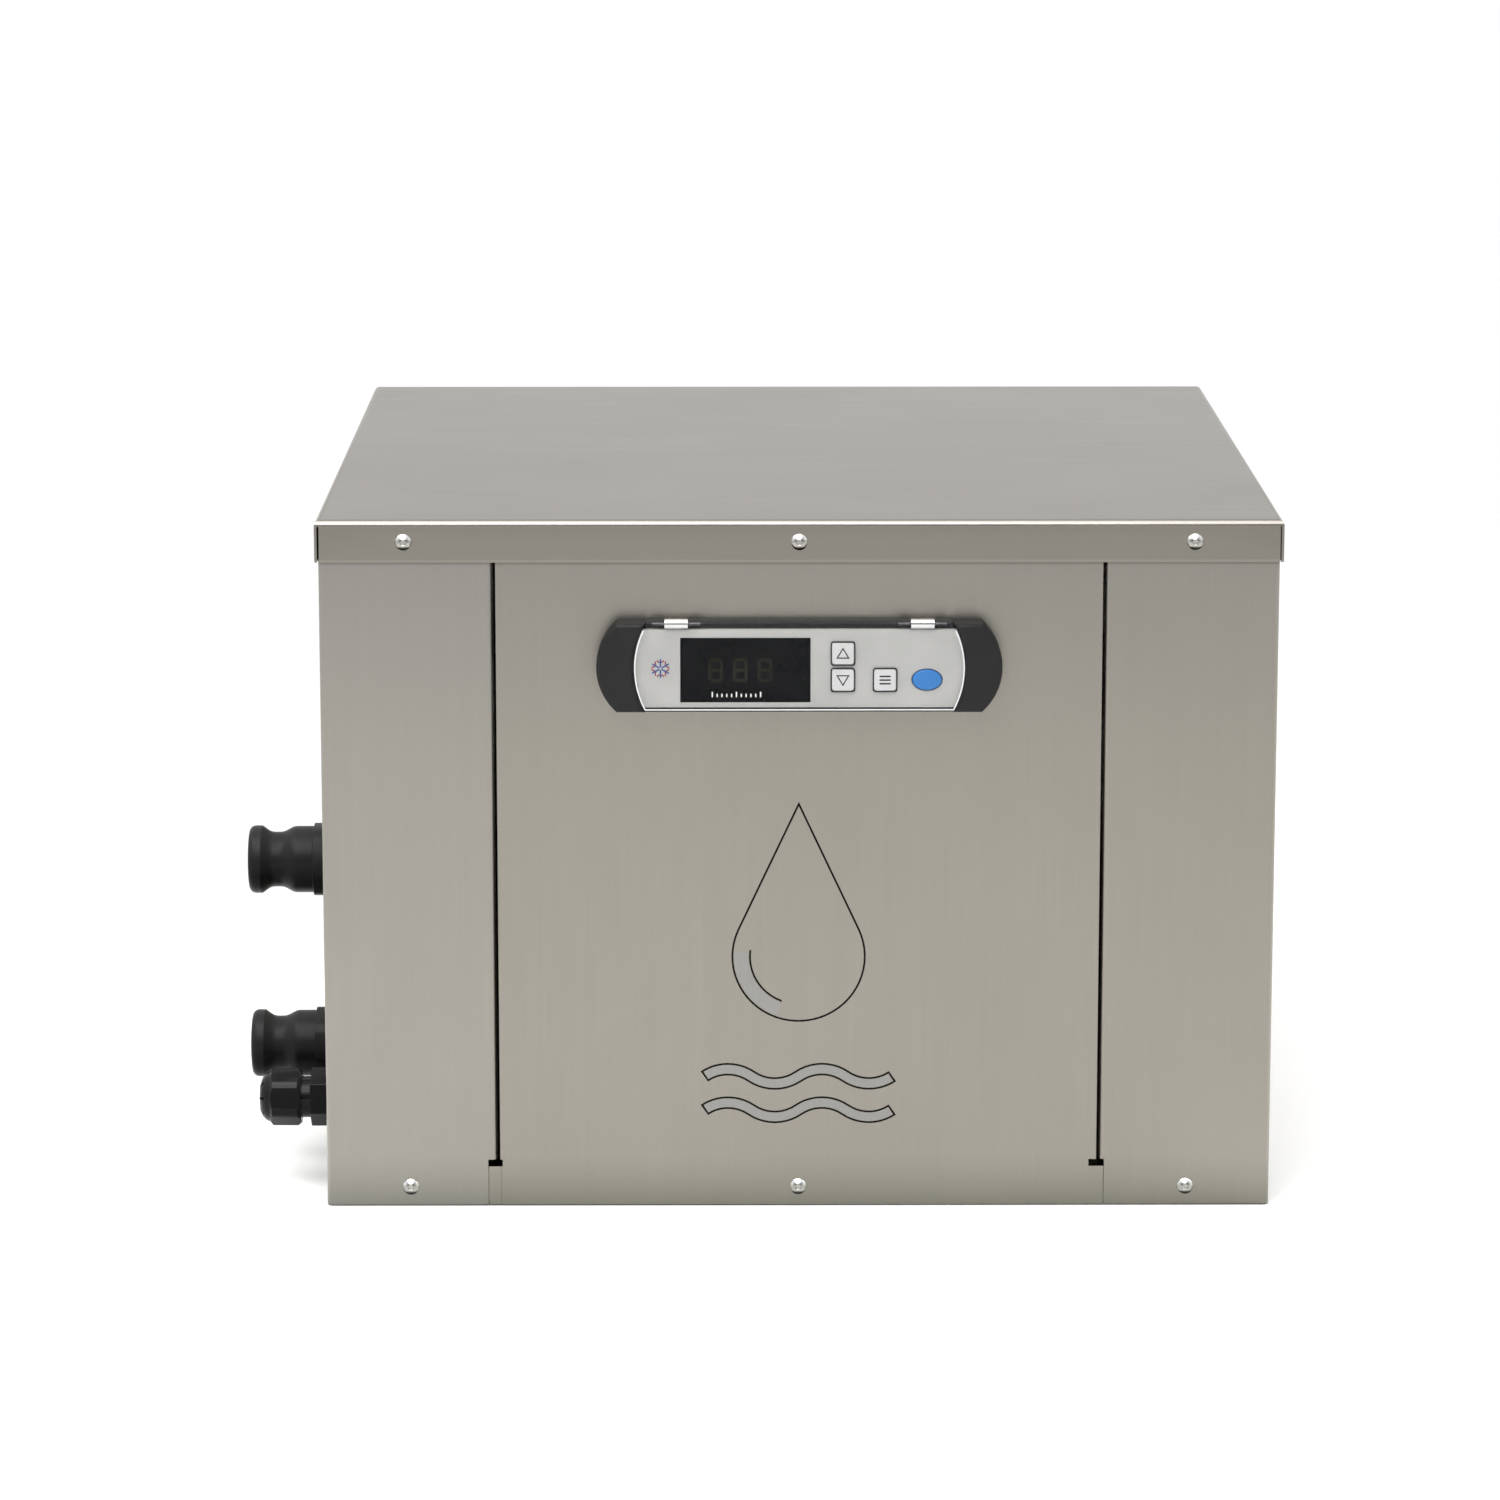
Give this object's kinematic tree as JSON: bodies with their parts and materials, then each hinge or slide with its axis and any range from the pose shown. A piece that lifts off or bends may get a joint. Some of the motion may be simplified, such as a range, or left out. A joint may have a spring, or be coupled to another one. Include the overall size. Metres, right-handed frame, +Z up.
{
  "type": "water chiller",
  "caption": "Box-shaped stainless water chiller with a front temperature controller, side cam-lever hose adapters, a cable gland and a refrigeration circuit inside.",
  "frame": {"origin": "centre of the base's underside, where the cabinet rests on the ground", "axes": "+Z up; the front with the controller faces -Y; the hose adapters and the cable gland leave towards -X"},
  "size_m": [0.4816, 0.4733, 0.323],
  "materials": {
    "stainless": "brushed stainless sheet",
    "tray_steel": "folded stainless sheet, dull",
    "screw_steel": "zinc plated, satin",
    "controller_grey": "dark grey moulded plastic, fine grain",
    "fascia_silver": "silver grey film, satin",
    "display_black": "polished black window",
    "key_grey": "light grey keys, satin",
    "key_blue": "blue key, satin gloss",
    "board_green": "solder mask",
    "module_grey": "moulded display and switch bodies",
    "housing_black": "black moulded housing",
    "terminal_green": "green terminal blocks",
    "cover_clear": "clear moulded plastic cover",
    "hinge_chrome": "polished",
    "fitting_black": "black glass-filled polypropylene, satin",
    "seal_rubber": "black rubber",
    "evaporator_plastic": "grey pressure shell",
    "titanium": "titanium tube",
    "bright_steel": "bright steel",
    "compressor_black": "black baked enamel",
    "terminal_cover_black": "black moulded cover",
    "copper": "copper tube",
    "fin_aluminium": "thin fins",
    "galvanised": "galvanised sheet, spangled",
    "fan_plastic": "black moulded impeller",
    "relay_cream": "light moulded case",
    "capacitor_can": "drawn can"
  },
  "bodies": {
    "cabinet": {"front_panel": "stainless", "left_panel": "stainless", "right_panel": "stainless", "rear_panel": "stainless", "lid": "stainless", "base_tray": "tray_steel", "cabinet_screws": "screw_steel", "clinch_nuts": "screw_steel", "compressor_bolts": "screw_steel", "end_cap_left": "controller_grey", "end_cap_right": "controller_grey", "controller_frame": "controller_grey", "fascia": "fascia_silver", "display_window": "display_black", "control_board": "board_green", "display_module": "module_grey", "key_switches": "module_grey", "controller_housing": "housing_black", "panel_clips": "housing_black", "terminal_blocks": "terminal_green", "hinge_barrels": "hinge_chrome", "hinge_pins": "hinge_chrome", "upper_adapter": "fitting_black", "lower_adapter": "fitting_black", "adapter_nuts": "fitting_black", "gland_body": "fitting_black", "gland_nut": "fitting_black", "gland_locknut": "fitting_black", "adapter_gaskets": "seal_rubber", "gland_seal": "seal_rubber", "compressor_grommets": "seal_rubber", "elbow_hoses": "seal_rubber", "evaporator_shell": "evaporator_plastic", "evaporator_cap": "evaporator_plastic", "titanium_coil": "titanium", "hose_clamps": "bright_steel", "temperature_probe": "bright_steel", "electrical_bracket": "bright_steel", "fan_bracket": "bright_steel", "compressor": "compressor_black", "suction_accumulator": "compressor_black", "fan_motor": "compressor_black", "terminal_cover": "terminal_cover_black", "discharge_line": "copper", "suction_line": "copper", "liquid_line": "copper", "capillary_tube": "copper", "condenser_tubes": "copper", "filter_drier": "copper", "condenser_fins": "fin_aluminium", "condenser_end_plates": "galvanised", "fan_shroud": "galvanised", "compressor_relay": "relay_cream", "run_capacitor": "capacitor_can"},
    "cover": {"controller_cover": "cover_clear"},
    "up_button": {"up_key": "key_grey"},
    "down_button": {"down_key": "key_grey"},
    "set_button": {"set_key": "key_grey"},
    "power_button": {"power_key": "key_blue"},
    "fan_rotor": {"condenser_fan": "fan_plastic"}
  },
  "joints": [
    {"name": "cover_hinge", "type": "hinge", "parent": "cabinet", "child": "cover", "pos_m": [0, -0.2375, 0.2766], "axis": [-1, 0, 0], "range_deg": [0, 110]},
    {"name": "up_press", "type": "slide", "parent": "cabinet", "child": "up_button", "axis": [0, 1, 0], "range_m": [0, 0.0008], "stiffness_N_per_m": 400},
    {"name": "down_press", "type": "slide", "parent": "cabinet", "child": "down_button", "axis": [0, 1, 0], "range_m": [0, 0.0008], "stiffness_N_per_m": 400},
    {"name": "set_press", "type": "slide", "parent": "cabinet", "child": "set_button", "axis": [0, 1, 0], "range_m": [0, 0.0008], "stiffness_N_per_m": 400},
    {"name": "power_press", "type": "slide", "parent": "cabinet", "child": "power_button", "axis": [0, 1, 0], "range_m": [0, 0.0008], "stiffness_N_per_m": 400},
    {"name": "fan_spin", "type": "hinge", "parent": "cabinet", "child": "fan_rotor", "pos_m": [0.04, 0.202, 0.155], "axis": [0, 1, 0], "continuous": true}
  ]
}
